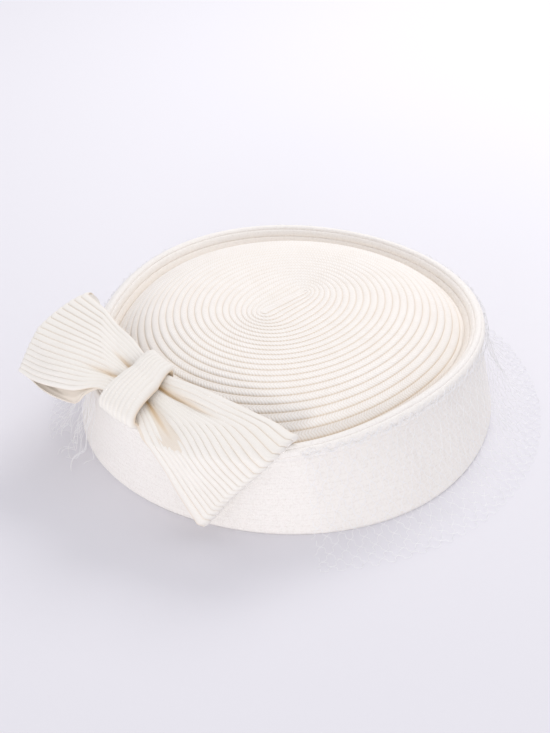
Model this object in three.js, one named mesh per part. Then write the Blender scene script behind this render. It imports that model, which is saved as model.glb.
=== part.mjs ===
// A straw pillbox hat with a ribbed ribbon bow at one end and a net veil round the rim.
// Millimetres, +Z up, +X along the hat's long axis away from the bow, origin on the surface it stands on.
import * as THREE from "three";

// Oval of the hat: the mean radius, half of what it is longer than wide, and how much it is egg-shaped
const bottomRadius = 90;
const bottomStretch = 3.1;
const bottomEgg = 1.7;
const rimRadius = 82.5;
const rimStretch = 5.8;
const rimEgg = -2.9;
const rimLean = 2.9; // the rim stands this far towards -X and +Y of the bottom edge
const startStretch = 2.4; // the first rows in the middle of the tip

// Heights above the surface
const rimHeight = 39.6;
const tipHeight = 50.6;
const grooveDepth = 5.3; // below the top of the rim

// Straw braid
const strawWall = 1.8;
const wallRows = 14;
const tipRows = 24;
const braidRelief = 0.45;

// Rolled rim
const rollWidth = 6.6; // from the outside of the roll to the groove
const seamDrop = 6; // the first seam of the wall, below the top of the rim
const ledgeWidth = 4.6; // the band turned in below the edge of the tip

// Bow
const bowAngle = 163; // degrees round the hat from +X
const ribbonWidth = 51;
const ribbonWall = 1.6;
const rightReach = 72;
const leftReach = 74;
const loopDepth = 9; // between the front and the back of a loop, at its fold
const knotWidth = 20;
const knotLength = 25;
const knotHeight = 13;
const knotWall = 1.8;

// Veil
const veilOpening = 78; // degrees without net, under the bow
const openingShift = 11; // degrees from the knot to the middle of that opening
const veilWall = 1;
const veilSpread = 21; // how far the net lies out on the surface
const veilBack = 0.45; // of the spread, at the side away from the viewer's net
const spreadAngle = -111; // degrees round the hat, where the net lies out furthest
const veilColumns = 22;
const veilRows = 6; // half diamonds, from the rim down
const threadShare = 0.17; // of a diamond, left round each gap
const gatherDepth = 1.6;
const gathers = 13;

const clearance = 0.3;
const segments = 36; // round the hat

const degrees = Math.PI / 180;
const lerp = THREE.MathUtils.lerp;
const clamp = THREE.MathUtils.clamp;

const straw = { color: 0xf1e6d2, roughness: 0.72, metalness: 0 };
const ribbon = { color: 0xf3ead9, roughness: 0.66, metalness: 0 };
const net = { color: 0xf7f5f0, roughness: 0.8, metalness: 0 };

// The oval changes from the bottom edge's to the rim's with its height.
function ovalAt(z) {
  const up = clamp(z / rimHeight, 0, 1);
  const stretch = lerp(bottomStretch, rimStretch, up);
  return { stretch, egg: lerp(bottomEgg, rimEgg, up), lean: rimLean * up };
}

function ovalPoint({ stretch, egg, lean }, radius, z, angle) {
  const r = radius + stretch * Math.cos(2 * angle) + egg * Math.cos(3 * angle);
  return new THREE.Vector3(r * Math.cos(angle) - lean, r * Math.sin(angle) + lean, z);
}

const bandPoint = (radius, z, angle) => ovalPoint(ovalAt(z), radius, z, angle);

const grooveRadius = rimRadius - 0.9 * rollWidth;
const tipRadius = grooveRadius - clearance;
const grooveHeight = rimHeight - grooveDepth;

// A point of the tip's oval: its rows start on a short stretch and end in the groove's outline.
function tipPoint(radius, z, angle) {
  const edge = ovalAt(grooveHeight);
  const out = Math.pow(radius / tipRadius, 4);
  const start = Math.min(startStretch, radius / 4);
  const oval = { stretch: lerp(start, edge.stretch, out), egg: edge.egg * out, lean: edge.lean };
  return ovalPoint(oval, radius, z, angle);
}

// A mesh geometry from points and triangles.
function geometryOf(points, faces) {
  const geometry = new THREE.BufferGeometry();
  const positions = points.flatMap((p) => [p.x, p.y, p.z]);
  geometry.setAttribute("position", new THREE.Float32BufferAttribute(positions, 3));
  geometry.setIndex(faces.flat());
  geometry.computeVertexNormals();
  return geometry;
}

// A closed body from a section of [radius, height] points, taken round the oval, with one point on the axis.
function ovalBody(section, place) {
  const points = [];
  const faces = [];
  const rings = section.map(([radius, z]) => {
    const count = radius > 0 ? segments : 1;
    const first = points.length;
    for (let i = 0; i < count; i++) points.push(place(radius, z, (i / segments) * 2 * Math.PI));
    return (i) => first + (i % count);
  });
  rings.forEach((ring, k) => {
    const next = rings[(k + 1) % rings.length];
    for (let i = 0; i < segments; i++) {
      const quad = [ring(i), ring(i + 1), next(i + 1), next(i)];
      if (quad[0] !== quad[1]) faces.push([quad[0], quad[1], quad[2]]);
      if (quad[2] !== quad[3]) faces.push([quad[0], quad[2], quad[3]]);
    }
  });
  return geometryOf(points, faces);
}

// A closed body from a middle surface: points with normals, triangles, and half the thickness to each side.
function thickSheet(middle, triangles, thickness) {
  const count = middle.length;
  const side = (sign) =>
    middle.map(({ point, normal }) => point.clone().addScaledVector(normal, (sign * thickness) / 2));
  const points = [...side(1), ...side(-1)];
  const faces = [];
  const edges = new Map();
  for (const [a, b, c] of triangles) {
    faces.push([a, b, c], [a + count, c + count, b + count]);
    for (const [from, to] of [[a, b], [b, c], [c, a]]) edges.set(from + " " + to, [from, to]);
  }
  for (const [from, to] of edges.values()) {
    if (edges.has(to + " " + from)) continue;
    faces.push([from, from + count, to + count], [from, to + count, to]);
  }
  return geometryOf(points, faces);
}

// The normal of a surface given by two shares.
function surfaceNormal(surface, a, b) {
  const step = 1e-3;
  const alongA = surface(a + step, b).sub(surface(a - step, b));
  const alongB = surface(a, b + step).sub(surface(a, b - step));
  return alongA.cross(alongB).normalize();
}

// A thick sheet over a grid of two shares. A wrapped sheet joins its last row to its first.
function gridSheet({ surface, rowShares, columnShares, wrapped, thickness }) {
  const middle = [];
  const triangles = [];
  const columns = columnShares.length;
  for (const a of rowShares) {
    for (const b of columnShares) {
      middle.push({ point: surface(a, b), normal: surfaceNormal(surface, a, b) });
    }
  }
  const rows = rowShares.length;
  const lastRow = wrapped ? rows : rows - 1;
  for (let i = 0; i < lastRow; i++)
    for (let j = 0; j < columns - 1; j++) {
      const here = i * columns + j;
      const next = ((i + 1) % rows) * columns + j;
      triangles.push([here, next, next + 1], [here, next + 1, here + 1]);
    }
  return thickSheet(middle, triangles, thickness);
}

// Rows of braid between two ends of a section line: each row is a low rounded ridge.
function braidRows(from, to, rows, shape) {
  const line = [];
  for (let i = 0; i < rows; i++) {
    line.push(shape(lerp(from, to, i / rows), 0));
    line.push(shape(lerp(from, to, (i + 0.5) / rows), braidRelief));
  }
  return line;
}

// Side band: outside from the bottom edge up, over the roll, down to the groove, in under the tip and down.
const seamHeight = rimHeight - seamDrop;
const seamRadius = rimRadius + 0.15 * rollWidth;
const wallRadius = (z) => lerp(bottomRadius, seamRadius, z / seamHeight);
const rollTable = [
  { out: 0.33, up: 0.84 },
  { out: 0.38, up: 0.45 },
  { out: 0.24, up: 0.1 },
  { out: 0, up: 0 },
  { out: -0.2, up: 0.1 },
  { out: -0.34, up: 0.24 },
  { out: -0.52, up: 0.5 },
  { out: -0.66, up: 0.66 },
  { out: -0.9, up: 1 },
];
const rollLine = rollTable.map(({ out, up }) => [
  rimRadius + out * rollWidth,
  rimHeight - (up < 1 ? up * seamDrop : grooveDepth),
]);
const ledgeHeight = grooveHeight - strawWall - clearance;
const ledgeRadius = grooveRadius - ledgeWidth;
const ledgeLine = [
  [grooveRadius, ledgeHeight],
  [ledgeRadius, ledgeHeight],
  [ledgeRadius, ledgeHeight - strawWall],
  [grooveRadius + strawWall, ledgeHeight - strawWall],
];
const innerRoll = [
  [rimRadius - 0.25 * rollWidth, rimHeight - 0.55 * seamDrop],
  [rimRadius - 0.02 * rollWidth, rimHeight - 0.34 * seamDrop],
  [rimRadius + 0.13 * rollWidth, rimHeight - 0.6 * seamDrop],
];
const innerWall = [1, 0.75, 0.5, 0.25, 0].map((up) => {
  const z = up * (seamHeight - strawWall);
  return [wallRadius(z) - strawWall, z];
});
const bandSection = [
  ...braidRows(0, seamHeight, wallRows, (z, relief) => [wallRadius(z) + relief, z]),
  [seamRadius, seamHeight],
  ...rollLine,
  ...ledgeLine,
  ...innerRoll,
  ...innerWall,
];

// Crown tip: domed, steeper towards its edge.
const domeDrop = tipHeight - grooveHeight;
const domeHeight = (radius) => tipHeight - domeDrop * Math.pow(radius / tipRadius, 5);
const tipOutside = braidRows(0, tipRadius, tipRows, (radius, relief) => [
  radius,
  domeHeight(radius) + (radius > 0 ? relief : 0),
]);
const tipInside = [1, 0.95, 0.88, 0.78, 0.6, 0.3, 0].map((share) => {
  const radius = share * (tipRadius - 0.5 * strawWall);
  return [radius, domeHeight(radius) - strawWall * (1 + 0.3 * share)];
});
const tipSection = [...tipInside.reverse(), [tipRadius, grooveHeight], ...tipOutside.reverse()];

// Draping line over the rim: the outline of the hat at a distance from the top of the rim, out and down the
// wall when it is positive, in over the groove and the tip when it is negative.
const drapeInside = [1, 0.93, 0.86, 0.77, 0.6, 0.3].map((share) => share * tipRadius);
const drapeLine = (distance) => {
  const outside = [
    [rimRadius, rimHeight],
    [rimRadius + 0.46 * rollWidth, rimHeight - 0.3 * seamDrop],
    [seamRadius + 0.2 * rollWidth, seamHeight],
    [bottomRadius + braidRelief, 0],
  ];
  const inside = [
    [rimRadius, rimHeight],
    ...drapeInside.slice(1).map((r) => [r, Math.max(rimHeight, domeHeight(r) + braidRelief)]),
  ];
  const points = distance >= 0 ? outside : inside;
  let left = Math.abs(distance);
  for (let i = 0; i < points.length - 1; i++) {
    const length = Math.hypot(points[i + 1][0] - points[i][0], points[i + 1][1] - points[i][1]);
    const share = length > 0 ? left / length : 0;
    if (share <= 1 || i === points.length - 2)
      return [lerp(points[i][0], points[i + 1][0], share), lerp(points[i][1], points[i + 1][1], share)];
    left -= length;
  }
};
// Degrees that the line faces up, at distances in shares of the roll's width
const turnTable = [
  { at: -3, tilt: 95 },
  { at: -0.9, tilt: 85 },
  { at: 0, tilt: 50 },
  { at: 1.2, tilt: 12 },
];
function facing(distance) {
  const place = distance / rollWidth;
  const last = turnTable.length - 1;
  if (place <= turnTable[0].at) return turnTable[0].tilt * degrees;
  if (place >= turnTable[last].at) return turnTable[last].tilt * degrees;
  const k = turnTable.findIndex((row) => row.at > place);
  const share = (place - turnTable[k - 1].at) / (turnTable[k].at - turnTable[k - 1].at);
  return lerp(turnTable[k - 1].tilt, turnTable[k].tilt, share) * degrees;
}
function drapedPoint(angle, distance, stand) {
  const [radius, z] = drapeLine(distance);
  const tilt = facing(distance);
  const lift = new THREE.Vector3(
    Math.cos(tilt) * Math.cos(angle),
    Math.cos(tilt) * Math.sin(angle),
    Math.sin(tilt),
  );
  return bandPoint(radius, z, angle).addScaledVector(lift, stand);
}

// Bow. A loop's rows go from the knot to its fold: out along the rim in shares of the reach, down over it
// and lifted off the hat in shares of the ribbon's width, for its upper and lower edge.
const knotDown = -0.21 * ribbonWidth;
const knotStand = knotHeight / 2 + clearance;
const rightTable = [
  { upOut: 0.03, upDown: -0.36, upLift: 0.16, lowOut: 0.03, lowDown: -0.06, lowLift: 0.16, depth: 0.2 },
  { upOut: 0.15, upDown: -0.38, upLift: 0.155, lowOut: 0.14, lowDown: -0.04, lowLift: 0.15, depth: 0.2 },
  { upOut: 0.4, upDown: -0.39, upLift: 0.18, lowOut: 0.27, lowDown: 0.07, lowLift: 0.14, depth: 0.45 },
  { upOut: 0.67, upDown: -0.3, upLift: 0.18, lowOut: 0.36, lowDown: 0.2, lowLift: 0.165, depth: 0.55 },
  { upOut: 0.84, upDown: -0.18, upLift: 0.165, lowOut: 0.43, lowDown: 0.44, lowLift: 0.19, depth: 0.54 },
  { upOut: 0.96, upDown: -0.04, upLift: 0.15, lowOut: 0.5, lowDown: 0.68, lowLift: 0.195, depth: 0.5 },
];
const leftTable = [
  { upOut: 0.03, upDown: -0.36, upLift: 0.16, lowOut: 0.03, lowDown: -0.06, lowLift: 0.16, depth: 0.2 },
  { upOut: 0.15, upDown: -0.38, upLift: 0.155, lowOut: 0.13, lowDown: -0.08, lowLift: 0.142, depth: 0.12 },
  { upOut: 0.32, upDown: -0.34, upLift: 0.2, lowOut: 0.18, lowDown: 0.045, lowLift: 0.26, depth: 0.5 },
  { upOut: 0.6, upDown: -0.19, upLift: 0.24, lowOut: 0.28, lowDown: 0.115, lowLift: 0.39, depth: 0.85 },
  { upOut: 0.8, upDown: -0.09, upLift: 0.25, lowOut: 0.39, lowDown: 0.15, lowLift: 0.5, depth: 1 },
  { upOut: 0.94, upDown: -0.02, upLift: 0.26, lowOut: 0.51, lowDown: 0.16, lowLift: 0.58, depth: 1 },
];
// Folds that run out from the knot: their place across the loop, how far they reach, depth and half width.
const rightFolds = [
  { across: 0.36, reach: 0.6, depth: 0.06, width: 0.12 },
  { across: 0.76, reach: 0.55, depth: 0.055, width: 0.12 },
];
const leftFolds = [
  { across: 0.32, reach: 0.5, depth: 0.045, width: 0.12 },
  { across: 0.66, reach: 0.45, depth: 0.04, width: 0.12 },
];

// One named column of a table at a share of its length, smoothed.
function column(table, name, share) {
  const place = clamp(share, 0, 1) * (table.length - 1);
  const k = Math.min(Math.floor(place), table.length - 2);
  const value = (i) => table[clamp(i, 0, table.length - 1)][name];
  const f = place - k;
  const [a, b, c, d] = [value(k - 1), value(k), value(k + 1), value(k + 2)];
  return b + 0.5 * f * (c - a + f * (2 * a - 5 * b + 4 * c - d + f * (3 * (b - c) + d - a)));
}

// A ribbon loop. The first share goes out along its front, round its fold and back along its back. Its end
// is hollow by a share of the reach. Its back hangs lower than its front by a share of the ribbon's width.
const frontEnd = 0.44;
const backStart = 0.56;
function loopSurface({ table, folds, reach, way, hollow, hang }) {
  return (share, across) => {
    const outward = clamp(share < 0.5 ? share / frontEnd : (1 - share) / (1 - backStart), 0, 1);
    const turn = clamp((share - frontEnd) / (backStart - frontEnd), 0, 1) * Math.PI;
    const at = (name) => column(table, name, outward);
    const depth = at("depth") * loopDepth;
    const swell = 4 * across * (1 - across);
    let stand = lerp(at("lowLift"), at("upLift"), across) * ribbonWidth + 0.2 * swell * outward * depth;
    const beyond = (depth / 2) * Math.sin(turn);
    const behind = (1 - Math.cos(turn)) / 2;
    const lower = hang * Math.pow(1 - across, 2) * clamp(4 * outward - 0.8, 0, 1) * behind;
    const down = (lerp(at("lowDown"), at("upDown"), across) + lower) * ribbonWidth;
    const end = lerp(at("lowOut"), at("upOut"), across) - hollow * swell * outward * outward;
    const along = end * reach + beyond;
    for (const fold of folds) {
      const near = Math.exp(-Math.pow((across - fold.across) / fold.width, 2));
      const fade = Math.pow(Math.max(0, 1 - outward / fold.reach), 1.2) * Math.min(1, outward * 8);
      stand -= turn < Math.PI ? near * fade * fold.depth * ribbonWidth : 0;
    }
    const angle = bowAngle * degrees + (way * along) / rimRadius;
    return drapedPoint(angle, down, stand - depth * behind);
  };
}

const knotSurface = (share, across) => {
  const turn = share * 2 * Math.PI;
  const crown = 0.06 * knotHeight * 4 * across * (1 - across);
  const side = Math.cos(turn);
  const down = knotDown + (knotLength / 2 - knotWall / 2) * side;
  const rise = turn < Math.PI ? Math.sin(turn) : -Math.pow(1 - Math.pow(side, 4), 0.25);
  const lift = (knotHeight / 2 - knotWall / 2 + crown * Math.max(0, rise)) * rise;
  const angle = bowAngle * degrees + ((across - 0.5) * knotWidth) / rimRadius;
  return drapedPoint(angle, down, knotStand + lift);
};

// Even shares from 0 to 1.
const shares = (steps) => Array.from({ length: steps + 1 }, (_, i) => i / steps);

function loopBody(settings) {
  const surface = loopSurface(settings);
  const out = shares(7).map((s) => s * frontEnd);
  const fold = [0.25, 0.5, 0.75].map((s) => lerp(frontEnd, backStart, s));
  const back = shares(7).map((s) => lerp(backStart, 1, s));
  return gridSheet({
    surface: settings.way > 0 ? surface : (a, b) => surface(a, 1 - b),
    rowShares: [...out, ...fold, ...back],
    columnShares: shares(8),
    wrapped: false,
    thickness: ribbonWall,
  });
}

// Veil. Its rows go from the hem on the rim down to the edge that lies on the surface.
const veilTable = [
  { down: 0, stand: 0 },
  { down: 0.2, stand: 0.05 },
  { down: 0.42, stand: 0.1 },
  { down: 0.62, stand: 0.17 },
  { down: 0.8, stand: 0.3 },
  { down: 0.92, stand: 0.5 },
  { down: 0.985, stand: 0.75 },
  { down: 1, stand: 1 },
];
const veilTurn = (360 - veilOpening) * degrees;
const veilStart = (bowAngle + openingShift + veilOpening / 2) * degrees;
const chordGap = (radius) => radius * (1 - Math.cos(veilTurn / veilColumns / 2));
const hemGap = clearance + veilWall / 2 + chordGap(rimRadius);

// A point of the net: a share round the hat and a share down from the roll of the rim.
function veilPoint(around, down) {
  const angle = veilStart + around * veilTurn;
  const fold = gatherDepth * Math.cos(2 * Math.PI * gathers * around);
  const drop = column(veilTable, "down", down);
  const hemHeight = rimHeight - 0.35 * seamDrop;
  const z = lerp(hemHeight, veilWall / 2, drop);
  const wall = z < seamHeight ? wallRadius(z) + braidRelief : rimRadius + 0.38 * rollWidth;
  const facingSpread = 0.5 + 0.5 * Math.cos(angle - spreadAngle * degrees);
  const spread = veilSpread * lerp(veilBack, 1, facingSpread);
  const stand = hemGap + column(veilTable, "stand", down) * spread + fold * Math.sin(Math.PI * down);
  return bandPoint(wall + stand, z, angle);
}

function veilBody() {
  const middle = [];
  const triangles = [];
  const index = new Map();
  const vertex = (i, j) => {
    const key = [i, j].map((value) => value.toFixed(4)).join(" ");
    if (!index.has(key)) {
      index.set(key, middle.length);
      const around = i / (2 * veilColumns);
      const down = j / veilRows;
      middle.push({ point: veilPoint(around, down), normal: surfaceNormal(veilPoint, around, down) });
    }
    return index.get(key);
  };
  const corners = [[1, 0], [0, 1], [-1, 0], [0, -1]];
  const inside = (i, j) => i >= 0 && i <= 2 * veilColumns && j >= 0 && j <= veilRows;
  for (let j = 0; j <= veilRows; j++)
    for (let i = (j + 1) % 2; i <= 2 * veilColumns; i += 2) {
      const kept = corners.filter(([di, dj]) => inside(i + di, j + dj));
      if (kept.length === 4) {
        const hole = 1 - 2 * threadShare;
        corners.forEach(([di, dj], k) => {
          const [ei, ej] = corners[(k + 1) % 4];
          const outer = [vertex(i + di, j + dj), vertex(i + ei, j + ej)];
          const inner = [vertex(i + hole * di, j + hole * dj), vertex(i + hole * ei, j + hole * ej)];
          triangles.push([outer[0], outer[1], inner[1]], [outer[0], inner[1], inner[0]]);
        });
      } else {
        corners.forEach(([di, dj], k) => {
          const [ei, ej] = corners[(k + 1) % 4];
          if (!inside(i + di, j + dj) || !inside(i + ei, j + ej)) return;
          triangles.push([vertex(i, j), vertex(i + di, j + dj), vertex(i + ei, j + ej)]);
        });
      }
    }
  return thickSheet(middle, triangles, veilWall);
}

function named(name, geometry, look) {
  const mesh = new THREE.Mesh(geometry, new THREE.MeshStandardMaterial(look));
  mesh.name = name;
  return mesh;
}

const hat = new THREE.Group();
hat.add(named("side_band", ovalBody(bandSection, bandPoint), straw));
hat.add(named("crown_tip", ovalBody(tipSection, tipPoint), straw));
hat.add(
  named(
    "bow_loop_right",
    loopBody({ table: rightTable, folds: rightFolds, reach: rightReach, way: 1, hollow: 0.06, hang: 0 }),
    ribbon,
  ),
);
hat.add(
  named(
    "bow_loop_left",
    loopBody({ table: leftTable, folds: leftFolds, reach: leftReach, way: -1, hollow: 0.1, hang: 0.06 }),
    ribbon,
  ),
);
hat.add(
  named(
    "bow_knot",
    gridSheet({
      surface: knotSurface,
      rowShares: shares(20).slice(0, -1),
      columnShares: shares(3),
      wrapped: true,
      thickness: knotWall,
    }),
    ribbon,
  ),
);
hat.add(named("veil", veilBody(), net));

// The origin is below the middle of the whole part's box, on the surface.
const box = new THREE.Box3().setFromObject(hat);
const middle = box.getCenter(new THREE.Vector3());
hat.position.set(-middle.x, -middle.y, -box.min.z);

export default hat;
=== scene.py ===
import math

import bpy
import numpy as np
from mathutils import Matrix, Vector


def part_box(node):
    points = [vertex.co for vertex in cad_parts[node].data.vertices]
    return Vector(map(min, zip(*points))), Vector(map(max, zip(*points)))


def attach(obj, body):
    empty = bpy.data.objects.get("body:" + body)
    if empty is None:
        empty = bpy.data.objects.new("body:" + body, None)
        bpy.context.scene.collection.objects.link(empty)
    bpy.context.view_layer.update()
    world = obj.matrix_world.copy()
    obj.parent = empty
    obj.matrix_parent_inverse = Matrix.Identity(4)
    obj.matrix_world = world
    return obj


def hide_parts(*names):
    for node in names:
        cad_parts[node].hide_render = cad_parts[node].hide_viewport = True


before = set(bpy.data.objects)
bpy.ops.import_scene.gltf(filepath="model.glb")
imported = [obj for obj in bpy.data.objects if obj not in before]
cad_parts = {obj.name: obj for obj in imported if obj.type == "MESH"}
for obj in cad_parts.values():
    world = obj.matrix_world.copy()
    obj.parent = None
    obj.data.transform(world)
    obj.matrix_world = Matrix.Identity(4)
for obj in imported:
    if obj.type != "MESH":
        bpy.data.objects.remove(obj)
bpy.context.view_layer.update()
print("frame loaded")

# The hat's own sizes in millimetres and degrees, the same as in the part's source
hat = {
    "bottomRadius": 90, "bottomStretch": 3.1, "bottomEgg": 1.7,
    "rimRadius": 82.5, "rimStretch": 5.8, "rimEgg": -2.9, "rimLean": 2.9,
    "startStretch": 2.4, "rimHeight": 39.6, "tipHeight": 50.6, "grooveDepth": 5.3,
    "strawWall": 1.8, "rollWidth": 6.6, "seamDrop": 6, "ledgeWidth": 4.6,
    "bowAngle": 163, "clearance": 0.3,
}
bandLowCorner = np.array([-95.913, -86.948, 0])  # of the side band, round the hat's own middle
hatShift = np.array(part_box("side_band")[0]) * 1000 - bandLowCorner
hatShift[2] = 0
seamHeight = hat["rimHeight"] - hat["seamDrop"]
seamRadius = hat["rimRadius"] + 0.15 * hat["rollWidth"]
grooveRadius = hat["rimRadius"] - 0.9 * hat["rollWidth"]
grooveHeight = hat["rimHeight"] - hat["grooveDepth"]
tipRadius = grooveRadius - hat["clearance"]
bowTurn = math.radians(hat["bowAngle"])


def mix(a, b, share):
    return a + (b - a) * share


def ovalPoints(stretch, egg, lean, radius, z, angle):
    r = radius + stretch * np.cos(2 * angle) + egg * np.cos(3 * angle)
    return np.stack([r * np.cos(angle) - lean, r * np.sin(angle) + lean, z + 0 * angle], axis=-1)


def bandPoints(radius, z, angle):
    up = np.clip(z / hat["rimHeight"], 0, 1)
    stretch = mix(hat["bottomStretch"], hat["rimStretch"], up)
    egg = mix(hat["bottomEgg"], hat["rimEgg"], up)
    return ovalPoints(stretch, egg, hat["rimLean"] * up, radius, z, angle)


def wallRadius(z):
    return mix(hat["bottomRadius"], seamRadius, z / seamHeight)


def domeHeight(radius):
    drop = hat["tipHeight"] - grooveHeight
    return hat["tipHeight"] - drop * (np.abs(radius) / tipRadius) ** 5


def inScene(points):
    return (np.asarray(points) + hatShift) * 0.001


# Camera at the photo's place, first, so that all else can be looked at through it
camera = {
    "elevation": 33.9, "turn": 61.1, "distance": 680, "across": -7.36, "up": 14.6,
    "focalPixels": 1563, "framePixels": 733, "sensor": 36,
}


def addCamera():
    e, t = math.radians(camera["elevation"]), math.radians(camera["turn"])
    ahead = np.array([0, math.cos(e), -math.sin(e)])
    upward = np.array([0, math.sin(e), math.cos(e)])
    place = -ahead * camera["distance"] + upward * camera["up"] + np.array([camera["across"], 0, 0])
    turned = np.array([place[0] * math.cos(t) + place[1] * math.sin(t),
                       -place[0] * math.sin(t) + place[1] * math.cos(t), place[2]])
    bpy.ops.object.camera_add(location=inScene(turned), rotation=(math.pi / 2 - e, 0, -t))
    made = bpy.context.object
    made.data.sensor_width = camera["sensor"]
    made.data.lens = camera["focalPixels"] / camera["framePixels"] * camera["sensor"]
    made.data.clip_start = 0.01
    bpy.context.scene.camera = made


addCamera()
print("camera placed")


# Tools for making a piece
def deselectAll():
    if bpy.context.object and bpy.context.object.mode != "OBJECT":
        bpy.ops.object.mode_set(mode="OBJECT")
    bpy.ops.object.select_all(action="DESELECT")


def pick(piece):
    deselectAll()
    piece.select_set(True)
    bpy.context.view_layer.objects.active = piece


sewn = 1e-6  # metres within which points are merged where a piece closes on itself


def cleanUp(piece, merge=0.0):
    pick(piece)
    bpy.ops.object.mode_set(mode="EDIT")
    bpy.ops.mesh.select_all(action="SELECT")
    if merge:
        bpy.ops.mesh.remove_doubles(threshold=merge)
    bpy.ops.mesh.normals_make_consistent(inside=False)
    bpy.ops.object.mode_set(mode="OBJECT")


# A grid laid out by a function of two shares, with a UV map in metres along both and a per-point amount of
# painted shade
def layGrid(name, columns, rows, place, uvAcross, uvUp, paintedShadeAt=None):
    deselectAll()
    bpy.ops.mesh.primitive_grid_add(x_subdivisions=columns, y_subdivisions=rows, size=1, location=(0, 0, 0))
    piece = bpy.context.object
    piece.name = name
    mesh = piece.data
    mesh.name = name
    flat = np.empty(len(mesh.vertices) * 3)
    mesh.vertices.foreach_get("co", flat)
    flat = flat.reshape(-1, 3)
    u, v = np.clip(flat[:, 0] + 0.5, 0, 1), np.clip(flat[:, 1] + 0.5, 0, 1)
    mesh.vertices.foreach_set("co", inScene(place(u, v)).ravel())
    paintedShade = mesh.attributes.new("paintedShade", "FLOAT", "POINT")
    if paintedShadeAt:
        paintedShade.data.foreach_set("value", np.clip(paintedShadeAt(u, v), 0, 1))
    layer = mesh.uv_layers.active
    uv = np.empty(len(mesh.loops) * 2)
    layer.data.foreach_get("uv", uv)
    uv = uv.reshape(-1, 2)
    laid = np.stack([uvAcross(uv[:, 0]), uvUp(uv[:, 1])], axis=-1)
    layer.data.foreach_set("uv", laid.ravel())
    mesh.update()
    return piece


def applyModifier(piece, kind, **settings):
    pick(piece)
    modifier = piece.modifiers.new(kind.title(), kind)
    for key, value in settings.items():
        setattr(modifier, key, value)
    bpy.ops.object.modifier_apply(modifier=modifier.name)


def smooth(piece, degrees):
    pick(piece)
    bpy.ops.object.shade_smooth_by_angle(angle=math.radians(degrees))


def settle(piece, node, material):
    piece.data.materials.clear()
    piece.data.materials.append(material)
    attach(piece, "root")
    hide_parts(node)


# Materials
def groupOf(name, inputs, outputs):
    group = bpy.data.node_groups.new(name, "ShaderNodeTree")
    for label, kind, value in inputs:
        made = group.interface.new_socket(name=label, in_out="INPUT", socket_type=kind)
        if value is not None:
            made.default_value = value
    for label, kind in outputs:
        group.interface.new_socket(name=label, in_out="OUTPUT", socket_type=kind)
    start = group.nodes.new("NodeGroupInput")
    end = group.nodes.new("NodeGroupOutput")
    return group, start, end


def mathNode(tree, operation, a, b=None, c=None):
    node = tree.nodes.new("ShaderNodeMath")
    node.operation = operation
    for i, value in enumerate((a, b, c)):
        if value is None:
            continue
        if isinstance(value, (int, float)):
            node.inputs[i].default_value = value
        else:
            tree.links.new(value, node.inputs[i])
    return node.outputs[0]


def noiseNode(tree, scale, detail, vector):
    node = tree.nodes.new("ShaderNodeTexNoise")
    node.inputs["Scale"].default_value = scale
    node.inputs["Detail"].default_value = detail
    tree.links.new(vector, node.inputs["Vector"])
    return node.outputs["Fac"]


# Plaited straw: strands that cross in a V about the middle of each row, from a map in metres; its Shade is
# painted shade, darker between strands and along the seams between rows
plait = {
    "wobbleScale": 900, "wobble": 0.0008, "fineScale": 2600, "slant": 1.1, "sharpness": 0.6,
    "seamSlope": 7.5, "seamBlend": 0.2, "strandHeight": 0.75, "fineHeight": 0.35, "strandShade": 0.3,
}


def makePlait():
    group, start, end = groupOf(
        "plaitedStraw",
        [("Map", "NodeSocketVector", None), ("Row", "NodeSocketFloat", 0.0031),
         ("Strand", "NodeSocketFloat", 0.0011)],
        [("Height", "NodeSocketFloat"), ("Shade", "NodeSocketFloat")],
    )
    parts = group.nodes.new("ShaderNodeSeparateXYZ")
    group.links.new(start.outputs["Map"], parts.inputs[0])
    along, up = parts.outputs[0], parts.outputs[1]
    rows = mathNode(group, "DIVIDE", up, start.outputs["Row"])
    off = mathNode(group, "ABSOLUTE", mathNode(group, "SUBTRACT", mathNode(group, "FRACT", rows), 0.5))
    offset = mathNode(group, "MULTIPLY", off, start.outputs["Row"])
    wobble = noiseNode(group, plait["wobbleScale"], 2, start.outputs["Map"])
    jitter = mathNode(group, "MULTIPLY", mathNode(group, "SUBTRACT", wobble, 0.5), plait["wobble"])
    slanted = mathNode(group, "ADD", along, mathNode(group, "MULTIPLY", offset, plait["slant"]))
    strands = mathNode(group, "DIVIDE", mathNode(group, "ADD", slanted, jitter), start.outputs["Strand"])
    turn = mathNode(group, "MULTIPLY", strands, 2 * math.pi)
    wave = mathNode(group, "MULTIPLY_ADD", mathNode(group, "SINE", turn), 0.5, 0.5)
    rounded = mathNode(group, "POWER", wave, plait["sharpness"])
    seam = mathNode(group, "MULTIPLY", mathNode(group, "SUBTRACT", 0.5, off), plait["seamSlope"])
    edge = mathNode(group, "SMOOTH_MIN", seam, 1, plait["seamBlend"])
    fine = noiseNode(group, plait["fineScale"], 3, start.outputs["Map"])
    height = mathNode(group, "ADD", mathNode(group, "MULTIPLY", rounded, plait["strandHeight"]),
                      mathNode(group, "MULTIPLY", fine, plait["fineHeight"]))
    group.links.new(height, end.inputs["Height"])
    seamShade = mathNode(group, "MULTIPLY", edge, 1 - plait["strandShade"])
    shade = mathNode(group, "MULTIPLY_ADD", rounded, plait["strandShade"], seamShade)
    group.links.new(shade, end.inputs["Shade"])
    return group


# Ribbed ribbon: fine threads across the ribs; its Shade is painted shade, darker between threads
threads = {"wobbleScale": 1200, "wobble": 0.0006, "waveHeight": 0.6, "wobbleHeight": 0.4}


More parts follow.
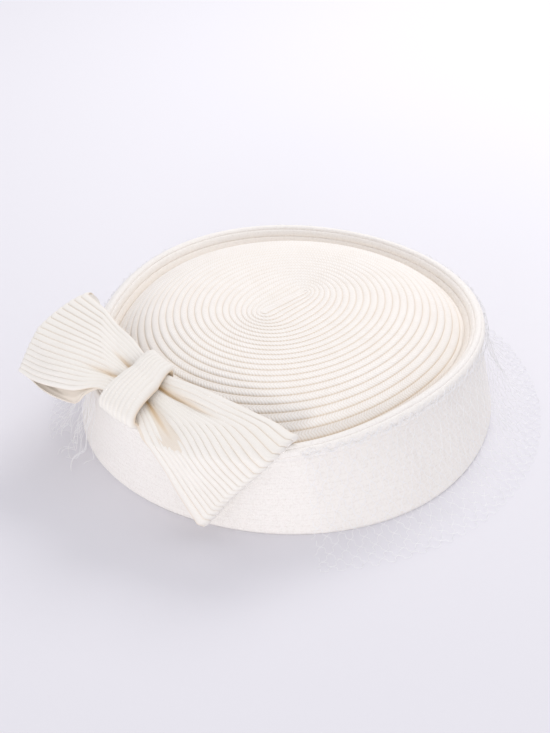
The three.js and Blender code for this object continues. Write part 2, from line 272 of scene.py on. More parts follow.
def makeThreads():
    group, start, end = groupOf(
        "ribbonThreads",
        [("Map", "NodeSocketVector", None), ("Thread", "NodeSocketFloat", 0.0006)],
        [("Height", "NodeSocketFloat"), ("Shade", "NodeSocketFloat")],
    )
    parts = group.nodes.new("ShaderNodeSeparateXYZ")
    group.links.new(start.outputs["Map"], parts.inputs[0])
    wobble = noiseNode(group, threads["wobbleScale"], 2, start.outputs["Map"])
    jitter = mathNode(group, "MULTIPLY", mathNode(group, "SUBTRACT", wobble, 0.5), threads["wobble"])
    place = mathNode(group, "ADD", parts.outputs[0], jitter)
    count = mathNode(group, "DIVIDE", place, start.outputs["Thread"])
    turn = mathNode(group, "MULTIPLY", count, 2 * math.pi)
    wave = mathNode(group, "MULTIPLY_ADD", mathNode(group, "SINE", turn), 0.5, 0.5)
    height = mathNode(group, "ADD", mathNode(group, "MULTIPLY", wave, threads["waveHeight"]),
                      mathNode(group, "MULTIPLY", wobble, threads["wobbleHeight"]))
    group.links.new(height, end.inputs["Height"])
    group.links.new(wave, end.inputs["Shade"])
    return group


plaitGroup = makePlait()
threadGroup = makeThreads()


sheenRoughness = 0.5
deepestShare = 0.6  # the shade at which a material has its deep colour


def finishMaterial(name, look, group, values):
    material = bpy.data.materials.new(name)
    material.use_nodes = True
    tree = material.node_tree
    shader = tree.nodes["Principled BSDF"]
    shader.inputs["Roughness"].default_value = look["roughness"]
    shader.inputs["Specular IOR Level"].default_value = look["specular"]
    shader.inputs["Sheen Weight"].default_value = look["sheen"]
    shader.inputs["Sheen Roughness"].default_value = sheenRoughness
    spread = tree.nodes.new("ShaderNodeUVMap")
    place = tree.nodes.new("ShaderNodeTexCoord")
    detail = tree.nodes.new("ShaderNodeGroup")
    detail.node_tree = group
    for key, value in values.items():
        detail.inputs[key].default_value = value
    tree.links.new(spread.outputs["UV"], detail.inputs["Map"])
    patches = noiseNode(tree, look["patchScale"], 4, place.outputs["Object"])
    # Painted shade: the strand and seam pattern darkens the colour towards the deep colour; the patches add
    # random tone
    strand, patch = look["strandShade"], look["patchShade"]
    shade = mathNode(tree, "MULTIPLY_ADD", detail.outputs["Shade"], strand, 1 - strand)
    uneven = mathNode(tree, "MULTIPLY_ADD", patches, patch, 1 - patch / 2)
    share = mathNode(tree, "MULTIPLY", shade, uneven)
    ramp = tree.nodes.new("ShaderNodeValToRGB")
    ramp.color_ramp.elements[0].position = deepestShare
    ramp.color_ramp.elements[0].color = (*look["deep"], 1)
    ramp.color_ramp.elements[1].position = 1.0
    ramp.color_ramp.elements[1].color = (*look["color"], 1)
    tree.links.new(share, ramp.inputs["Fac"])
    # Painted shade: a per-point amount mixes in a warm darker colour at folds, rib valleys, row edges and
    # the groove
    paintedShade = tree.nodes.new("ShaderNodeAttribute")
    paintedShade.attribute_name = "paintedShade"
    paintedShadeMix = tree.nodes.new("ShaderNodeMix")
    paintedShadeMix.data_type = "RGBA"
    paintedShadeMix.inputs["B"].default_value = (*look["paintedShade"], 1)
    tree.links.new(paintedShade.outputs["Fac"], paintedShadeMix.inputs["Factor"])
    tree.links.new(ramp.outputs["Color"], paintedShadeMix.inputs["A"])
    tree.links.new(paintedShadeMix.outputs["Result"], shader.inputs["Base Color"])
    bump = tree.nodes.new("ShaderNodeBump")
    bump.inputs["Strength"].default_value = look["bump"]
    bump.inputs["Distance"].default_value = look["bumpDepth"]
    tree.links.new(detail.outputs["Height"], bump.inputs["Height"])
    tree.links.new(bump.outputs["Normal"], shader.inputs["Normal"])
    return material


# Looks: rows, strands and threads are widths in metres. Deep is the colour towards which painted shade
# between strands and at row seams, and random patches, darken; a warmer dark colour is painted shade in
# folds and recesses
strawLook = {
    "color": (0.975, 0.945, 0.905), "deep": (0.64, 0.49, 0.31), "paintedShade": (0.72, 0.56, 0.38),
    "roughness": 0.55, "specular": 0.4, "sheen": 0.1,
    "patchScale": 120, "patchShade": 0.08, "strandShade": 0.34, "bump": 0.5, "bumpDepth": 0.0003,
}
wallLook = {
    **strawLook, "deep": (0.66, 0.59, 0.53), "patchScale": 1200, "patchShade": 0.34, "strandShade": 0.06,
}
ribbonLook = {
    "color": (0.89, 0.863, 0.812), "deep": (0.66, 0.58, 0.47), "paintedShade": (0.6, 0.37, 0.12),
    "roughness": 0.6, "specular": 0.35, "sheen": 0.15,
    "patchScale": 90, "patchShade": 0.08, "strandShade": 0.03, "bump": 0.12, "bumpDepth": 0.0001,
}
netLook = {
    "color": (0.98, 0.98, 0.99), "deep": (0.88, 0.87, 0.88), "paintedShade": (0.8, 0.78, 0.78),
    "roughness": 0.5, "specular": 0.5, "sheen": 0.5,
    "patchScale": 200, "patchShade": 0.05, "strandShade": 0.1, "bump": 0.2, "bumpDepth": 0.0001,
}
wallRow, tipRow, wallStrand, tipStrand = 0.0024, 0.0031, 0.0008, 0.0013
strawMaterial = finishMaterial("ivoryStraw", wallLook, plaitGroup, {"Row": wallRow, "Strand": wallStrand})
tipMaterial = finishMaterial("ivoryStrawTip", strawLook, plaitGroup, {"Row": tipRow, "Strand": tipStrand})
ribbonMaterial = finishMaterial("ivoryRibbon", ribbonLook, threadGroup, {"Thread": 0.0006})
netMaterial = finishMaterial("whiteNet", netLook, threadGroup, {"Thread": 0.0008})
print("materials made")


# Lines of a section: a smooth path through points, and rows of braid along it
def smoothPath(points, steps):
    points = np.asarray(points, float)
    before, after = 2 * points[0] - points[1], 2 * points[-1] - points[-2]
    p = np.vstack([before, points, after])
    line = []
    for k in range(1, len(p) - 2):
        f = np.linspace(0, 1, steps, endpoint=False)[:, None]
        a, b, c, d = p[k - 1], p[k], p[k + 1], p[k + 2]
        line.append(b + 0.5 * f * (c - a + f * (2 * a - 5 * b + 4 * c - d + f * (3 * (b - c) + d - a))))
    return np.vstack([*line, points[-1:]])


def lengthsOf(path):
    return np.concatenate([[0], np.cumsum(np.linalg.norm(np.diff(path, axis=0), axis=1))])


# Each row is a rounded ridge with a narrow seam: shares of the row, and the ridge's height there
ridgeShares = np.array([0, 0.05, 0.14, 0.3, 0.5, 0.7, 0.86, 0.95])
ridgeFlatness, ridgeSteepness = 3, 0.6


def ridge(share):
    return (1 - np.abs(2 * share - 1) ** ridgeFlatness) ** ridgeSteepness


def braidAlong(path, rows, relief):
    path = np.asarray(path, float)
    length = lengthsOf(path)
    share = (np.arange(rows)[:, None] + ridgeShares).ravel()
    at = share / rows * length[-1]
    point = np.stack([np.interp(at, length, path[:, k]) for k in range(2)], axis=-1)
    step = length[-1] * 1e-3
    ahead = np.stack([np.interp(at + step, length, path[:, k]) for k in range(2)], axis=-1)
    behind = np.stack([np.interp(at - step, length, path[:, k]) for k in range(2)], axis=-1)
    tangent = ahead - behind
    tangent /= np.linalg.norm(tangent, axis=1)[:, None]
    outward = np.stack([tangent[:, 1], -tangent[:, 0]], axis=-1)
    return np.column_stack([point + outward * (relief * ridge(share % 1))[:, None], share])


# Side band: the wall, the rolled rim, the ring down to the groove and the inside
band = {
    "paintedShadeStrength": 0.24, "curl": 1.1, "curlHeight": 1.4, "wallRows": 14, "rollRows": 5,
    "wallRelief": 0.05, "relief": 0.5, "insideRelief": 0.3, "around": 300,
    "rollSteps": 8, "insideSteps": 4, "uvRadius": 0.086, "sharpest": 60,
    # out in shares of the roll's width and down in shares of the seam's drop, over the roll and inside it
    "roll": [(0.15, 1), (0.3, 0.84), (0.36, 0.45), (0.24, 0.12), (0, 0), (-0.2, 0.1), (-0.34, 0.24),
             (-0.52, 0.5), (-0.7, 0.7), (-0.9, hat["grooveDepth"] / hat["seamDrop"])],
    "insideRoll": [(-0.25, 0.55), (-0.02, 0.34), (0.13, 0.6)],
}


def rollLine(shares):
    return [(hat["rimRadius"] + out * hat["rollWidth"], hat["rimHeight"] - down * hat["seamDrop"])
            for out, down in shares]


def makeBand():
    straw = hat["strawWall"]
    wall = [(hat["bottomRadius"] - band["curl"], 0)]
    wall += [(wallRadius(z), z) for z in (band["curlHeight"], seamHeight / 2, seamHeight)]
    overRoll = smoothPath(rollLine(band["roll"]), band["rollSteps"])
    under = grooveHeight - straw - hat["clearance"]
    inner = grooveRadius - hat["ledgeWidth"]
    ledge = [(grooveRadius, grooveHeight), (grooveRadius, under), (inner, under), (inner, under - straw),
             (grooveRadius + straw, under - straw)]
    innerTop = (wallRadius(seamHeight - straw) - straw, seamHeight - straw)
    insideRoll = smoothPath([*rollLine(band["insideRoll"]), innerTop], band["insideSteps"])
    down = [innerTop, (wallRadius(0) - straw, 0)]
    plain = [(*point, 0.5) for point in [*ledge, *insideRoll[:-1]]]
    section = np.vstack([
        braidAlong(wall, band["wallRows"], band["wallRelief"]),
        braidAlong(overRoll, band["rollRows"], band["relief"]),
        plain,
        braidAlong(down, band["wallRows"], band["insideRelief"]),
        [(hat["bottomRadius"] - straw, 0, 0)],
    ])
    section = np.vstack([section, section[:1]])
    count = len(section)
    # Painted shade: a warm darker colour down the inside of the roll into the groove, and on the ledge
    shaded = braidAlong(overRoll, band["rollRows"], 0)
    first = band["wallRows"] * len(ridgeShares)
    paintedShadeMix = np.zeros(count)
    paintedShadeMix[first:first + len(shaded)] = np.clip((hat["rimHeight"] - shaded[:, 1]) / hat["grooveDepth"], 0, 1)
    paintedShadeMix[first:first + len(shaded) // 2] = 0
    paintedShadeMix[first + len(shaded):first + len(shaded) + len(ledge)] = 1

    def place(u, v):
        k = np.rint(v * (count - 1)).astype(int)
        return bandPoints(section[k, 0], section[k, 1], u * 2 * np.pi)

    def up(v):
        k = np.clip(np.rint(v * (count - 1)).astype(int), 0, count - 1)
        return section[k, 2] * wallRow

    def paintedShadeAt(u, v):
        return paintedShadeMix[np.rint(v * (count - 1)).astype(int)] * band["paintedShadeStrength"]

    piece = layGrid("sideBand", band["around"], count - 1, place,
                    lambda u: u * 2 * np.pi * band["uvRadius"], up, paintedShadeAt)
    cleanUp(piece, sewn)
    smooth(piece, band["sharpest"])
    return piece


sideBand = makeBand()
settle(sideBand, "side_band", strawMaterial)
print("side band made")

# Crown tip: one long braid sewn in a spiral from a straight start, each row lapping the one before it
tip = {
    "rows": 24, "perRow": 120, "across": 8, "lap": 0.56, "rise": -0.55, "relief": 0.7, "thick": 0.7,
    "startTurn": -19, "startHalf": 12.5, "startFade": 4.5, "startBend": 0.06,
    "firstRow": -0.9, "firstTurn": -0.3, "ovalFrom": 4, "backDip": 2.6, "backTurn": 29, "sharpest": 50,
    "crest": 0.6, "crestFlatness": 5,
    "paintedShadeStrength": 0.36, "lapShadeWidth": 0.22, "edgeShadeWidth": 0.1, "edgeShare": 0.6,
}


def tipPoints(rowPlace, angle, lift):
    pitch = tipRadius / tip["rows"]
    radius = np.clip(rowPlace, tip["firstRow"], tip["rows"]) * pitch
    up = grooveHeight / hat["rimHeight"]
    edgeStretch = mix(hat["bottomStretch"], hat["rimStretch"], up)
    edgeEgg = mix(hat["bottomEgg"], hat["rimEgg"], up)
    out = np.minimum(radius / tipRadius, 1) ** tip["ovalFrom"]
    start = np.minimum(hat["startStretch"], np.abs(radius) / 4)  # none in the very middle
    flat = ovalPoints(mix(start, edgeStretch, out), edgeEgg * out, hat["rimLean"] * up, radius, 0, angle)
    turn = math.radians(tip["startTurn"])
    lengthwise = np.cos(angle - turn)
    half = tip["startHalf"] * np.exp(-np.maximum(rowPlace, 0) / tip["startFade"])
    slide = half * lengthwise / np.sqrt(lengthwise ** 2 + tip["startBend"])
    flat[..., 0] += slide * math.cos(turn)
    flat[..., 1] += slide * math.sin(turn)
    outShare = np.clip(radius / tipRadius, 0, 1) ** 2
    backward = np.maximum(0, np.cos(angle - math.radians(tip["backTurn"]))) ** 2
    flat[..., 2] = domeHeight(radius) + lift - tip["backDip"] * backward * 4 * outShare * (1 - outShare)
    return flat


def makeTip():
    turns = tip["rows"] + 1 - tip["firstTurn"]
    columns = int(turns * tip["perRow"])

    def place(u, v):
        rowsOut = tip["firstTurn"] + u * turns
        across = (v - 0.5) * 2
        lift = tip["relief"] * (tip["crest"] - np.abs(across) ** tip["crestFlatness"])
        lift = lift - tip["rise"] * across / 2 - tip["thick"] / 2
        return tipPoints(rowsOut + across * tip["lap"], -(rowsOut - tip["firstTurn"]) * 2 * np.pi, lift)

    shares = np.linspace(0, 1, columns + 1)
    middle = tipPoints(tip["firstTurn"] + shares * turns, -shares * turns * 2 * np.pi, 0)
    lengths = 0.001 * lengthsOf(middle)

    # Painted shade: a warm darker colour along both edges of each row, strongest on the lapped edge
    def paintedShadeAt(u, v):
        lapped, edge = np.exp(-(v / tip["lapShadeWidth"]) ** 2), np.exp(-((1 - v) / tip["edgeShadeWidth"]) ** 2)
        return tip["paintedShadeStrength"] * (lapped + tip["edgeShare"] * edge)

    piece = layGrid("crownTip", columns, tip["across"], place,
                    lambda u: np.interp(u, shares, lengths), lambda v: v * tipRow, paintedShadeAt)
    applyModifier(piece, "SOLIDIFY", thickness=0.001 * tip["thick"], offset=0)
    cleanUp(piece)
    smooth(piece, tip["sharpest"])
    return piece


crownTip = makeTip()
settle(crownTip, "crown_tip", tipMaterial)
print("crown tip made")

# Bow: two loops and a knot; along a loop the front layer ends and the back layer starts at the shares given
bow = {
    "ribbonWidth": 51, "flatWidth": 0.051, "loopLength": 0.14, "thick": 0.9, "depth": 9,
    "frontEnd": 0.44, "backStart": 0.56, "steps": 96, "perRib": 8, "sharpest": 60, "ribShape": 0.7,
    "backFolds": 0.2, "backRibs": 0.4, "foldSpread": (2.4, 0.6), "straightFrom": 0.12,
    "swell": 0.2, "foldSlope": 1.2, "foldRise": 8, "ribStart": 0.35,
    "valleyShade": 0.27, "insideShade": 0.22, "foldShade": 1.2, "foldFade": 0.95,
    "knotWidth": 20, "knotLength": 25, "knotHeight": 13, "knotWall": 1.8,
}
# Rows from the knot to the fold: out along the rim in shares of the reach, down over it and lifted off it in
# shares of the ribbon's width, for the upper and then the lower edge; last, the loop's depth.
# Folds: place across the ribbon, drift, share of the loop reached, depth and width.
rightLoop = {
    "name": "bowLoopRight", "node": "bow_loop_right", "way": 1, "reach": 72, "ribs": 18, "ribHeight": 0.6,
    "hollow": 0.06, "backDrop": 0.05, "close": 0.3, "sag": 0.03, "even": 0.8, "straight": (0.4, 0.15),
    "rows": [
        (0.03, -0.36, 0.16, 0.03, -0.06, 0.16, 0.2),
        (0.15, -0.38, 0.155, 0.14, -0.04, 0.15, 0.2),
        (0.4, -0.38, 0.18, 0.27, 0.07, 0.14, 0.45),
        (0.67, -0.285, 0.18, 0.36, 0.2, 0.165, 0.55),
        (0.84, -0.18, 0.155, 0.43, 0.44, 0.19, 0.54),
        (0.96, -0.05, 0.115, 0.5, 0.68, 0.195, 0.5),
    ],
    "folds": [(0.26, 0.03, 0.62, 0.13, 0.055), (0.77, 0, 0.62, 0.13, 0.055)],
}
leftLoop = {
    "name": "bowLoopLeft", "node": "bow_loop_left", "way": -1, "reach": 74, "ribs": 17, "ribHeight": 0.6,
    "hollow": 0.1, "backDrop": 0.06, "close": 0.55, "sag": 0, "even": 1, "straight": (0.45, 0.2),
    "rows": [
        (0.03, -0.36, 0.16, 0.03, -0.03, 0.15, 0.2),
        (0.15, -0.38, 0.155, 0.13, -0.02, 0.14, 0.12),
        (0.32, -0.34, 0.2, 0.18, 0.08, 0.24, 0.5),
        (0.6, -0.19, 0.24, 0.28, 0.125, 0.38, 0.85),
        (0.8, -0.09, 0.25, 0.39, 0.15, 0.49, 1),
        (0.94, -0.02, 0.26, 0.51, 0.16, 0.57, 1),
    ],
    "folds": [(0.32, 0.05, 0.5, 0.08, 0.05), (0.66, 0.05, 0.45, 0.06, 0.05)],
}


# The outline that the bow is draped on, from the rim's top out and down, or in over the tip
drape = {
    "relief": 0.45, "shoulder": (0.46, 0.3), "seamOut": 0.2, "inside": [0.93, 0.86, 0.77, 0.6, 0.3],
    "at": [-3, -0.9, 0, 1.2], "tilt": [95, 85, 50, 12],
}


def drapeLine(distance):
    rim, roll, top = hat["rimRadius"], hat["rollWidth"], hat["rimHeight"]
    out, down = drape["shoulder"]
    outside = np.array([(rim, top), (rim + out * roll, top - down * hat["seamDrop"]),
                        (seamRadius + drape["seamOut"] * roll, seamHeight),
                        (hat["bottomRadius"] + drape["relief"], 0)])
    inner = np.array(drape["inside"]) * tipRadius
    heights = np.maximum(top, domeHeight(inner) + drape["relief"])
    inside = np.vstack([[(rim, top)], np.stack([inner, heights], axis=-1)])
    outLength, inLength = lengthsOf(outside), lengthsOf(inside)
    radius = np.where(distance >= 0, np.interp(distance, outLength, outside[:, 0]),
                      np.interp(-distance, inLength, inside[:, 0]))
    z = np.where(distance >= 0, np.interp(distance, outLength, outside[:, 1]),
                 np.interp(-distance, inLength, inside[:, 1]))
    return radius, z


def drapedPoints(angle, distance, stand):
    radius, z = drapeLine(distance)
    tilt = np.radians(np.interp(distance / hat["rollWidth"], drape["at"], drape["tilt"]))
    lift = np.stack([np.cos(tilt) * np.cos(angle), np.cos(tilt) * np.sin(angle), np.sin(tilt)], axis=-1)
    return bandPoints(radius, z, angle) + lift * stand[..., None]


def columnOf(rows, column, share):
    values = np.array([row[column] for row in rows], float)
    count = len(values)
    at = np.clip(share, 0, 1) * (count - 1)
    k = np.minimum(at.astype(int), count - 2)
    f = at - k
    a, b = values[np.maximum(k - 1, 0)], values[k]
    c, d = values[k + 1], values[np.minimum(k + 2, count - 1)]
    return b + 0.5 * f * (c - a + f * (2 * a - 5 * b + 4 * c - d + f * (3 * (b - c) + d - a)))


def ribWave(across, ribs):
    return np.abs(np.sin(np.pi * ribs * across)) ** bow["ribShape"]


def outwardOf(share):
    back = (1 - share) / (1 - bow["backStart"])
    return np.clip(np.where(share < 0.5, share / bow["frontEnd"], back), 0, 1)


def nearFold(fold, outward, across):
    place, drift, reach, _, width = fold
    spread = width * mix(*bow["foldSpread"], np.minimum(1, outward / reach))
    return np.exp(-((across - place - drift * outward) / spread) ** 2)


def drapedLoop(loop, share, across):
    frontEnd, backStart = bow["frontEnd"], bow["backStart"]
    outward = outwardOf(share)
    turn = np.clip((share - frontEnd) / (backStart - frontEnd), 0, 1) * np.pi
    at = [columnOf(loop["rows"], k, outward) for k in range(7)]
    depth = at[6] * bow["depth"] * (1 - loop["close"] * (1 - across) ** 3)
    swell = 4 * across * (1 - across)
    upward = across ** loop["even"]
    stand = mix(at[5], at[2], upward) * bow["ribbonWidth"] + bow["swell"] * swell * outward * depth
    beyond = depth / 2 * np.sin(turn)
    fromKnot = np.clip(4 * outward - 0.8, 0, 1)  # grows from a fifth to under half of the way out
    hanging = loop["backDrop"] * (1 - across) ** 2 * fromKnot * (1 - np.cos(turn)) / 2
    sagging = loop["sag"] * swell * 4 * outward * (1 - outward)
    down = (mix(at[4], at[1], upward) + hanging + sagging) * bow["ribbonWidth"]
    along = (mix(at[3], at[0], upward) - loop["hollow"] * swell * outward ** 2) * loop["reach"] + beyond
    for fold in loop["folds"]:
        reach, deep = fold[2:4]
        fade = np.maximum(0, 1 - outward / reach) ** bow["foldSlope"]
        fade = fade * np.minimum(1, outward * bow["foldRise"])
        depthHere = nearFold(fold, outward, across) * fade * deep * bow["ribbonWidth"]
        stand = stand - depthHere * np.where(turn < np.pi, 1, bow["backFolds"])
    rib = loop["ribHeight"] * (ribWave(across, loop["ribs"]) - 0.5)
    rib = rib * np.minimum(1, bow["ribStart"] + outward)
    rib = rib * np.where(share > backStart, bow["backRibs"], 1)
    stand = stand + rib * np.cos(turn)
    along = along + rib * np.sin(turn)
    angle = bowTurn + loop["way"] * along / hat["rimRadius"]
    return drapedPoints(angle, down, stand - depth * (1 - np.cos(turn)) / 2)


# The ribs run straighter than the hat's own form under them, as in stiff ribbon
def loopPoints(loop, share, across):
    front = share < 0.5
    nearKnot = bow["straightFrom"]
    start = np.where(front, nearKnot * bow["frontEnd"], 1 - nearKnot * (1 - bow["backStart"]))
    end = np.where(front, bow["frontEnd"], bow["backStart"])
    along = np.clip((outwardOf(share) - nearKnot) / (1 - nearKnot), 0, 1)[..., None]
    chord = mix(drapedLoop(loop, start, across), drapedLoop(loop, end, across), along)
    turning = ((share > bow["frontEnd"]) & (share < bow["backStart"])) | (outwardOf(share) < nearKnot)
    straight = np.where(turning, 0, np.where(front, *loop["straight"]))[..., None]
    return mix(drapedLoop(loop, share, across), chord, straight)


# Painted shade: warmer, darker colour in the folds, in the valleys between ribs and on the inside of the
# loop
def loopPaintedShade(loop, share, across):
    outward = outwardOf(share)
    paintedShade = np.where(share > bow["backStart"], bow["insideShade"], 0.0)
    for fold in loop["folds"]:
        fade = np.maximum(0, 1 - outward / fold[2]) ** bow["foldFade"]
        paintedShade = np.maximum(paintedShade, bow["foldShade"] * nearFold(fold, outward, across) ** 2 * fade)
    valley = bow["valleyShade"] * (1 - ribWave(across, loop["ribs"])) ** 2 * (share < 0.5)
    return np.maximum(paintedShade, valley)


def makeLoop(loop):
    piece = layGrid(loop["name"], bow["steps"], loop["ribs"] * bow["perRib"],
                    lambda u, v: loopPoints(loop, u, v),
                    lambda u: u * bow["loopLength"], lambda v: v * bow["flatWidth"],
                    lambda u, v: loopPaintedShade(loop, u, v))
    applyModifier(piece, "SOLIDIFY", thickness=0.001 * bow["thick"], offset=0)
    cleanUp(piece)
    smooth(piece, bow["sharpest"])
    settle(piece, loop["node"], ribbonMaterial)
    return piece


bowLoopRight = makeLoop(rightLoop)
bowLoopLeft = makeLoop(leftLoop)

# Knot: a closed band of the gathered ribbon, from one share of its width to another along the rim
knot = {
    "valleyShade": 0.5, "ribs": 8, "ribHeight": 1.3, "down": -0.21, "from": -0.34, "to": 0.5,
    "swell": 0.06, "pinch": 0.16, "bend": 4, "lift": 0.6, "steps": 72, "around": 0.062, "width": 0.02,
}


def knotPoints(share, across):
    turn = share * 2 * np.pi
    swell = knot["swell"] * 4 * across * (1 - across)
    crown = bow["knotHeight"] * (swell - knot["pinch"] * np.abs(2 * across - 1) ** 4)
    side = np.cos(turn)
    length = bow["knotLength"] / 2 - bow["knotWall"] / 2
    rise = np.where(turn < np.pi, np.sin(turn), -np.abs(1 - side ** 4) ** 0.25)
    height = bow["knotHeight"] / 2 - bow["knotWall"] / 2
    height = height + crown * np.maximum(0, rise) + knot["lift"] * np.minimum(0, rise)
    rib = knot["ribHeight"] * (ribWave(across, knot["ribs"]) - 0.5)
    down = knot["down"] * bow["ribbonWidth"] + (length + rib) * side
    bend = knot["bend"] * ((1 + side) / 2) ** 2
    angle = bowTurn + (mix(knot["from"], knot["to"], across) * bow["knotWidth"] + bend) / hat["rimRadius"]
    stand = bow["knotHeight"] / 2 + hat["clearance"] + (height + rib) * rise
    return drapedPoints(angle, down, stand)


# Painted shade: warmer, darker colour in the valleys between the knot's ribs
def knotPaintedShade(share, across):
    return knot["valleyShade"] * (1 - ribWave(across, knot["ribs"])) ** 2


def makeKnot():
    piece = layGrid("bowKnot", knot["steps"], knot["ribs"] * bow["perRib"], knotPoints,
                    lambda u: u * knot["around"], lambda v: v * knot["width"], knotPaintedShade)
    cleanUp(piece, sewn)
    applyModifier(piece, "SOLIDIFY", thickness=0.001 * bow["knotWall"], offset=0)
    cleanUp(piece)
    smooth(piece, bow["sharpest"])
    settle(piece, "bow_knot", ribbonMaterial)
    return piece


bowKnot = makeKnot()
print("bow made")

# Veil: net threads that fall from the rim outside the wall and spread on the surface
veil = {
    "opening": 78, "openingShift": 11, "spread": 21, "back": 0.45, "spreadAngle": -111,
    "cells": 84, "rows": 13, "steps": 4, "thread": 0.085, "gather": 1.6, "gathers": 13,
    "hemDrop": 0.35, "lowest": 0.5, "offWall": 0.45, "offRoll": 0.38, "stand": 1.3,
    "curve": 0.12, "uneven": 0.00012,
    "down": [(0,), (0.2,), (0.42,), (0.62,), (0.8,), (0.92,), (0.985,), (1,)],
    "out": [(0,), (0.05,), (0.1,), (0.17,), (0.3,), (0.5,), (0.75,), (1,)],
}
# Loose threads at the veil's end, under the bow, and threads of the gathered edge round the rim
loose = {
    "count": 16, "from": 134, "to": 147, "steps": 60, "drop": 30, "lowest": 0.4, "sway": 2.2, "swing": 0.9,
}
hem = {
    "count": 4, "steps": 700, "down": 2.4, "wave": 1.3, "slowWaves": 37, "slowWave": 0.6,
    "off": 0.42, "stand": 0.5, "slowStands": 23, "slowStand": 0.4,
}


def veilAngle(around):
    start = math.radians(hat["bowAngle"] + veil["openingShift"] + veil["opening"] / 2)
    return start + around * math.radians(360 - veil["opening"])


def veilPoints(around, down):
    angle = veilAngle(around)
    fold = veil["gather"] * np.cos(2 * np.pi * veil["gathers"] * around)
    edge = hat["rimHeight"] - veil["hemDrop"] * hat["seamDrop"]
    z = mix(edge, veil["lowest"], columnOf(veil["down"], 0, down))
    wall = np.where(z < seamHeight, wallRadius(z) + veil["offWall"],
                    hat["rimRadius"] + veil["offRoll"] * hat["rollWidth"])
    facing = 0.5 + 0.5 * np.cos(angle - math.radians(veil["spreadAngle"]))
    spread = veil["spread"] * mix(veil["back"], 1, facing)
    stand = veil["stand"] + columnOf(veil["out"], 0, down) * spread + fold * np.sin(np.pi * down)
    return bandPoints(wall + stand, z, angle)


def looseThread(rng):
    t = np.linspace(0, 1, loose["steps"])
    start, reach = rng.uniform(loose["from"], loose["to"]), rng.uniform(2, 11)
    waves, phase = rng.uniform(1.5, 4), rng.uniform(0, 6)
    wave = waves * 2 * np.pi * t + phase
    angle = np.radians(start + loose["sway"] * np.sin(wave) * t + rng.uniform(-3, 3) * t)
    z = loose["lowest"] + loose["drop"] * (1 - t) ** 1.4
    stand = 1 + reach * t ** 1.6 + loose["swing"] * (1 + np.cos(wave)) * t
    return inScene(bandPoints(wallRadius(z) + stand, z, angle))


def hemThread(rng):
    angle = veilAngle(np.linspace(0, 1, hem["steps"]))
    waves, phase = rng.integers(60, 110), rng.uniform(0, 6)
    wave = waves * angle + phase
    z = hat["rimHeight"] - hem["down"] + hem["wave"] * np.sin(wave)
    z = z + hem["slowWave"] * np.sin(hem["slowWaves"] * angle + 2 * phase)
    stand = hem["stand"] * (1 + np.cos(wave)) + hem["slowStand"] * np.sin(hem["slowStands"] * angle + phase)
    return inScene(bandPoints(hat["rimRadius"] + hem["off"] * hat["rollWidth"] + stand, z, angle))


def addThread(curve, points):
    spline = curve.splines.new("POLY")
    spline.points.add(len(points) - 1)
    spline.points.foreach_set("co", np.column_stack([points, np.ones(len(points))]).ravel())


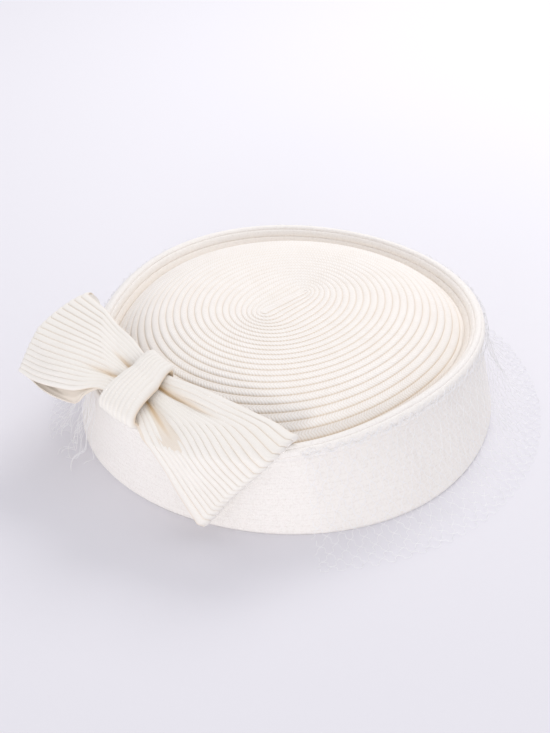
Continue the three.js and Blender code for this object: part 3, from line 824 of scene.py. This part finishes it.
def makeVeil():
    rng = np.random.default_rng(4)
    curve = bpy.data.curves.new("veil", "CURVE")
    curve.dimensions = "3D"
    curve.bevel_depth = 0.001 * veil["thread"]
    curve.bevel_resolution = 0
    curve.use_fill_caps = True
    cells, rows, steps = veil["cells"], veil["rows"], veil["steps"]
    for way in (1, -1):
        for k in range(-rows, cells + rows + 1):
            t = np.linspace(0, rows, rows * steps + 1)
            around = (k + way * t / 2 + (veil["curve"] * way * np.sin(2 * np.pi * t))) / cells
            keep = (around >= 0) & (around <= 1)
            if keep.sum() < 3:
                continue
            points = inScene(veilPoints(around[keep], t[keep] / rows))
            addThread(curve, points + rng.normal(0, veil["uneven"], points.shape))
    for make, count in ((looseThread, loose["count"]), (hemThread, hem["count"])):
        for _ in range(count):
            addThread(curve, make(rng))
    made = bpy.data.objects.new("veilNet", curve)
    bpy.context.collection.objects.link(made)
    pick(made)
    bpy.ops.object.convert(target="MESH")
    piece = bpy.context.object
    piece.name = "veilNet"
    if not piece.data.uv_layers:
        piece.data.uv_layers.new(name="UVMap")
    bpy.ops.object.shade_smooth()
    return piece


veilNet = makeVeil()
settle(veilNet, "veil", netMaterial)
print("veil made")

# Floor and light
stage = {
    "floor": (0.825, 0.818, 0.862), "floorSize": 24, "floorHeight": -0.00005,
    "roughness": 0.9, "specular": 0.1,
    "world": (0.97, 0.96, 1.0), "worldStrength": 0.8,
    "key": {"power": 2.3, "size": 0.42, "turn": 62, "height": 48, "distance": 0.8,
            "color": (1.0, 0.98, 0.96)},
    "fill": {"power": 10.8, "size": 0.5, "turn": 252, "height": 5, "distance": 1.8,
             "color": (1.0, 0.98, 0.97)},
}


# A soft light; turn and height are degrees seen from the camera's side of the hat
def addLight(name):
    light = stage[name]
    turn = math.radians(light["turn"] - camera["turn"])
    height = math.radians(light["height"])
    level = math.cos(height)
    towards = Vector((level * math.cos(turn), level * math.sin(turn), math.sin(height)))
    bpy.ops.object.light_add(type="AREA", location=towards * light["distance"])
    lamp = bpy.context.object
    lamp.name = name + "Light"
    lamp.data.size = light["size"]
    lamp.data.energy = light["power"]
    lamp.data.color = light["color"]
    lamp.rotation_euler = towards.to_track_quat("Z", "Y").to_euler()


def addStage():
    deselectAll()
    bpy.ops.mesh.primitive_plane_add(size=stage["floorSize"], location=(0, 0, stage["floorHeight"]))
    floor = bpy.context.object
    floor.name = "paleFloor"
    material = bpy.data.materials.new("paleFloor")
    material.use_nodes = True
    shader = material.node_tree.nodes["Principled BSDF"]
    shader.inputs["Base Color"].default_value = (*stage["floor"], 1)
    shader.inputs["Roughness"].default_value = stage["roughness"]
    shader.inputs["Specular IOR Level"].default_value = stage["specular"]
    floor.data.materials.append(material)
    world = bpy.data.worlds.new("studio")
    world.use_nodes = True
    back = world.node_tree.nodes["Background"]
    back.inputs["Color"].default_value = (*stage["world"], 1)
    back.inputs["Strength"].default_value = stage["worldStrength"]
    bpy.context.scene.world = world
    addLight("key")
    addLight("fill")
    bpy.context.scene.view_settings.view_transform = "Standard"


addStage()
print("stage set")
